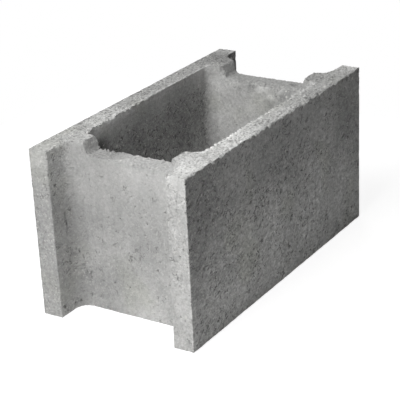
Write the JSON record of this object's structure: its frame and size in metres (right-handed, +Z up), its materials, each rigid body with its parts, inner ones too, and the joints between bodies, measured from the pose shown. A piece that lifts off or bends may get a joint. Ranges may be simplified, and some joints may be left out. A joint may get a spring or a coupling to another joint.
{
  "type": "hollow concrete formwork block",
  "caption": "Hollow concrete wall block: face shells joined by set-back webs, notched on top for bars, round an open cell that is filled with concrete.",
  "frame": {"origin": "middle of the bottom bed, on the plane that the block stands on", "axes": "+X along the block's length, +Y across it from one face shell to the other, +Z up from the bottom bed to the top bed, where the bar notches are"},
  "size_m": [0.4, 0.2, 0.2],
  "materials": {
    "concrete": "matte"
  },
  "bodies": {
    "root": {"concrete_block": "concrete"}
  },
  "joints": []
}
